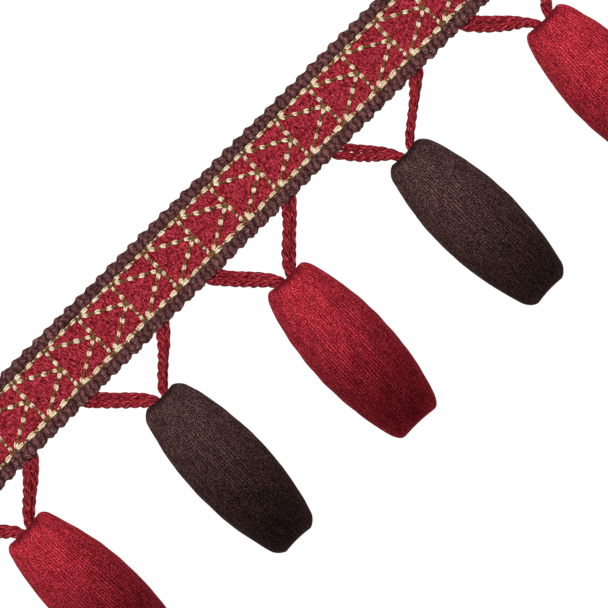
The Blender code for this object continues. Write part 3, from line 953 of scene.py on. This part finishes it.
cordLook = {"Specular IOR Level": 0.03}
cordTones = {
    "source": "yarnMap", "fleck": (1.00, 0.24, 1.0), "patch": (4.0, 2.0, 1.0), "keen": 0.08,
    "fleckShare": 0.58, "shadeShare": 0.30, "patchShare": 0.12,
    "dark": (0.0285, 0.0007, 0.0019, 1.0), "light": (0.445, 0.0212, 0.0355, 1.0),
    "glint": (0.690, 0.1000, 0.1170, 1.0), "glintFrom": 0.74, "glintShare": 0.50,
    "deep": (0.0115, 0.0004, 0.0011, 1.0), "paintedShadeTo": 1.0, "paintedShadeShare": 0.97,
    "rough": (0.60, 0.85), "bump": 0.05,
}


def beadFrame(drop):
    # The braid's inner side, the bead's near end, and the directions into and across the bead
    tilt = math.radians(drop["tilt"])
    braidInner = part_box("edge_lower")[0].y / mm
    end = np.array([drop["beadX"], braidInner - drop["hang"], drop["diameter"] / 2])
    inwards = np.array([math.sin(tilt), -math.cos(tilt), 0.0])
    across = np.array([math.cos(tilt), math.sin(tilt), 0.0])
    return braidInner, end, inwards, across


def hangerRoute(drop):
    # Down the left leg, round inside the hole and up the right leg
    braidInner, end, inwards, across = beadFrame(drop)
    middle = (drop["leftMouth"] + drop["rightMouth"]) / 2
    rootHeight = hanger["rootHeight"]
    legs = []
    for hand in ("left", "right"):
        rootX, mouthX = drop[hand + "Root"], drop[hand + "Mouth"]
        mouth = end + (mouthX - drop["beadX"]) * across
        leg = [(rootX + (mouth[0] - rootX) * over, braidInner + (mouth[1] - braidInner) * down,
                rootHeight + (mouth[2] - rootHeight) * rise) for down, over, rise in legRows]
        leg.insert(0, (leg[0][0], braidInner + hanger["rootReach"], rootHeight))
        for deep, out in turnRows[:-1]:
            sideways = middle + (mouthX - middle) * out - drop["beadX"]
            leg.append(tuple(end + inwards * deep + across * sideways))
        legs.append(leg)
    bottom = end + inwards * turnRows[-1][0] + across * (middle - drop["beadX"])
    return np.array(legs[0] + [tuple(bottom)] + legs[1][::-1])


def smoothRoute(points):
    # A smooth curve through the route's points, as evenly spaced points
    padded = np.vstack([2 * points[0] - points[1], points, 2 * points[-1] - points[-2]])
    share = np.arange(hanger["curveSteps"])[:, None] / hanger["curveSteps"]
    fine = []
    for a, b, c, d in zip(padded, padded[1:], padded[2:], padded[3:]):
        fine.append(0.5 * (2 * b + (c - a) * share + (2 * a - 5 * b + 4 * c - d) * share ** 2
                           + (3 * b - a - 3 * c + d) * share ** 3))
    fine = np.vstack(fine + [points[-1:]])
    return resampled(fine, round(runAlong(fine)[-1] / hanger["step"]))


def pairTurns(drop, run):
    # How far the pair of cords has turned about itself, all the way round the loop
    total = run[-1]
    leg = total / 2 - turnRows[-1][0] - hanger["turnSlack"]
    under = hanger["rootReach"] / leg
    stops = raisedFrom(under, np.linspace(0, 1, len(drop["leftTurns"])))
    left = np.radians(np.interp(run / leg, stops, drop["leftTurns"]))
    right = np.radians(180.0 - np.interp((total - run) / leg, stops, drop["rightTurns"]))
    blend = np.clip((run - leg) / (total - 2 * leg), 0.0, 1.0)
    return left * (1 - blend) + right * blend


def makeHanger(drop, material):
    random = np.random.default_rng(hanger["seed"] + int(drop["name"]))
    path, run = smoothRoute(hangerRoute(drop))
    side, up = sideAndUp(path)
    turned = pairTurns(drop, run)
    fromRoot = np.minimum(run, run[-1] - run)
    pressed = np.clip(2 * (1 - fromRoot / hanger["rootFlatReach"]), 0.0, 1.0)
    flat = 1.0 - hanger["rootFlat"] * pressed
    around = np.linspace(0.0, fullTurn, hanger["sides"], endpoint=False)
    grids = []
    for cord in (-1, 1):
        middle = (path + (cord * hanger["apart"] * np.cos(turned))[:, None] * side
                  + (cord * hanger["apart"] * np.sin(turned))[:, None] * up)
        start = random.uniform(0, fullTurn)
        for yarn in range(hanger["yarnCount"]):
            angle = start + fullTurn * run / hanger["twistLength"]
            angle = angle + fullTurn * yarn / hanger["yarnCount"]
            strand = (middle + (hanger["helixRadius"] * np.cos(angle))[:, None] * side
                      + (hanger["helixRadius"] * np.sin(angle) * flat)[:, None] * up)
            plyTurn = random.uniform(*anyPhase) - fullTurn * run / hanger["plyLength"]
            ply = np.cos(hanger["plyCount"] * around[None, :] + plyTurn[:, None])
            radius = hanger["yarnRadius"] * (1 - hanger["plyDepth"] * (1 - ply) / 2)
            made = tube(strand, radius, hanger["sides"], random.uniform(*hanger["yarnShades"]))
            # painted shade where the yarn faces the inside of its cord, and in the grooves between
            # its plies
            far = np.linalg.norm(made["points"] - middle[:, None, :], axis=2)
            made["crest"] = np.clip((far - hanger["crestFrom"]) / hanger["crestSpan"], 0, 1)
            made["crest"] *= 1 - hanger["plyCrest"] + hanger["plyCrest"] * (1 + ply) / 2
            made["points"][:, :, 2] = np.maximum(made["points"][:, :, 2], clearance)
            grids.append(made)
    name = drop["name"]
    placePiece("hangerCords" + name, grids, material, ["hanger_" + name])


cordMaterial = threadMaterial("crimsonCordYarn", cordLook, cordTones)
for drop in drops:
    makeHanger(drop, cordMaterial)


# thread-wound beads

winding = {
    "threads": 88,
    "threadSamples": 4,
    "threadSizes": (0.74, 1.0),
    "threadPower": 0.7,
    "swellRates": (3.0, 9.0),
    "swell": 0.2,               # how much a thread's size changes along it
    "swellTurn": 6.28,
    "shadeSpread": 0.6,
    "shadeTurn": 9.0,
    "rows": 96,
    "relief": 0.17,
    "sunk": 0.03,
    "fadeRadius": 6.0,          # the relief fades out inside this radius
    "profileSteps": 400,
    "endDrop": 3.9,             # from the middle's radius to the ends'
    "endDip": 0.35,
    "endDipReach": 5.0,
    "lipHalf": 5.0,             # the lip of the hole, darkened with painted shadow
    "lipPower": 4,
    "lipDepth": 1.3,
    "lipFull": 1.5,
    "lipShadow": 0.9,
    "wander": 0.020,            # radians that the threads drift round the bead
    "phases": 8,                # two are spare, which keeps the later draws as they are
    "seed": 70,
}

waveColumns = ("size", "around", "along")       # around: waves round the bead
driftWaves = tableRows(waveColumns, ((1.0, 3, 5.0), (0.7, 7, -8.0), (0.5, 13, 14.0)))
lumpWaves = tableRows(waveColumns, ((0.04, 4, 9.0), (0.03, 9, -17.0), (0.03, 5, 44.0)))

# depth from the end and radius: the hole from floor to lip, the far dimple from lip to floor
holeWall = ((5.4, 0.05), (5.4, 2.9), (3.0, 3.2), (1.4, 3.3), (0.6, 3.38), (0.18, 3.55))
dimpleWall = ((0.15, 3.4), (0.6, 2.9), (1.2, 2.4), (1.8, 1.4), (1.8, 0.05))

beadTones = {
    "source": "object", "fleck": (0.22, 0.36, 0.22), "patch": (1.5, 2.2, 1.5), "keen": 0.055,
    "fleckShare": 0.74, "shadeShare": 0.17, "patchShare": 0.09,
    "glintFrom": 0.75, "glintShare": 0.40, "paintedShadeTo": 0.75, "paintedShadeShare": 0.85, "bump": 0.03,
}
beadFinishes = {
    "crimson": {
        "slot": "crimson_bead", "rough": (0.52, 0.68),
        "look": {"Metallic": 0.24, "Specular IOR Level": 0.02,
                 "Specular Tint": (0.60, 0.03, 0.05, 1.0)},
        "dark": (0.172, 0.0055, 0.0112, 1.0), "light": (0.735, 0.0396, 0.0658, 1.0),
        "glint": (0.800, 0.110, 0.140, 1.0), "deep": (0.050, 0.0018, 0.0042, 1.0),
    },
    "brown": {
        "slot": "brown_bead", "rough": (0.60, 0.85),
        "look": {"Specular IOR Level": 0.02},
        "dark": (0.0145, 0.0064, 0.0063, 1.0), "light": (0.113, 0.0562, 0.0548, 1.0),
        "glint": (0.228, 0.118, 0.092, 1.0), "deep": (0.0042, 0.0020, 0.0021, 1.0),
    },
}


def beadProfile(drop):
    # Depth from the braid's end and radius, from the hole's floor over the barrel to the far dimple
    length, radius = drop["length"], drop["diameter"] / 2
    rimDepth, rimPower = drop["rimDepth"], drop["rimPower"]
    depths = 0.5 * length * (1 - np.cos(np.linspace(0, math.pi, winding["profileSteps"])))
    barrel = radius - winding["endDrop"] * ((depths - length / 2) / (length / 2)) ** 2
    toGo = np.clip((rimDepth - np.minimum(depths, length - depths)) / rimDepth, 0.0, 1.0)
    rounded = 1 - (1 - toGo ** rimPower) ** (1 / rimPower)
    barrel = barrel - (radius - winding["endDrop"] - drop["faceRadius"]) * rounded
    dimple = [(length - depth, dimpleRadius) for depth, dimpleRadius in dimpleWall]
    return np.array([*holeWall, *zip(depths, barrel), *dimple])


def waves(rows, angle, along, phases):
    return sum(row["size"] * np.sin(row["around"] * angle + row["along"] * along + phase)
               for row, phase in zip(rows, phases))


def makeBead(drop, material):
    random = np.random.default_rng(winding["seed"] + int(drop["name"]))
    length, radius = drop["length"], drop["diameter"] / 2
    profile, run = resampled(beadProfile(drop), winding["rows"])
    depth, out = profile[:, :1], profile[:, 1:]
    along = depth / length
    threads, samples = winding["threads"], winding["threadSamples"]
    column = np.arange(threads * samples)
    thread = column // samples
    angle = (fullTurn * column / len(column))[None, :]

    # each thread has its own size, which swells and thins along it
    phases = random.uniform(0, fullTurn, winding["phases"])
    size = random.uniform(*winding["threadSizes"], threads)[thread]
    rate = random.uniform(*winding["swellRates"], threads)[thread] * along
    late = random.uniform(*anyPhase, threads)[thread]
    swell = np.sin(rate * winding["swellTurn"] + late)
    size = size * (1 - winding["swell"] + winding["swell"] * swell)
    # the crest is also the mask for painted shade in the grooves between threads
    crest = dome((column % samples) / samples, 2.0) ** winding["threadPower"] * size
    fade = np.clip(out / winding["fadeRadius"], 0.0, 1.0)
    lumps = waves(lumpWaves, angle, along, phases[len(driftWaves):])
    r = out + fade * (winding["relief"] * (crest - 1.0) + lumps - winding["sunk"])
    turned = angle + winding["wander"] * waves(driftWaves, angle, along, phases) * fade

    # both end faces sink a little above and below the hole
    nearEnd = np.clip(1 - depth / winding["endDipReach"], 0, 1) ** 2
    farEnd = np.clip(1 - (length - depth) / winding["endDipReach"], 0, 1) ** 2
    sink = winding["endDip"] * np.sin(turned) ** 2 * (nearEnd - farEnd)
    x = r * np.cos(turned)
    z = np.maximum(r * np.sin(turned), clearance - radius)

    # the lip of the hole is darkened with painted shadow
    lip = np.clip(1 - (np.abs(x) / winding["lipHalf"]) ** winding["lipPower"], 0, 1)
    lip = lip * np.clip(winding["lipFull"] - depth / winding["lipDepth"], 0, 1)
    swing = (1 - winding["shadeSpread"]) / 2
    shade = random.random(threads)[thread] * winding["shadeSpread"] + swing
    shade = np.clip(shade + swing * np.sin(rate * winding["shadeTurn"] + late), 0, 1)
    wound = {
        "points": np.stack([x, -(depth + sink), z], axis=-1),
        "along": run,
        "around": np.linspace(0, fullTurn * radius, len(column) + 1),
        "crest": crest * (1 - winding["lipShadow"] * lip),
        "shade": shade,
    }
    name = drop["name"]
    piece = placePiece("woundBead" + name, [wound], material, ["bead_" + name])
    piece.location = Vector(beadFrame(drop)[1] * mm)
    piece.rotation_euler = (0.0, 0.0, math.radians(drop["tilt"]))


beadMaterials = {}
for finishName, finish in beadFinishes.items():
    tones = dict(beadTones, **finish)
    beadMaterials[finishName] = threadMaterial(finishName + "BeadThread", finish["look"], tones)
for drop in drops:
    makeBead(drop, beadMaterials[drop["finish"]])
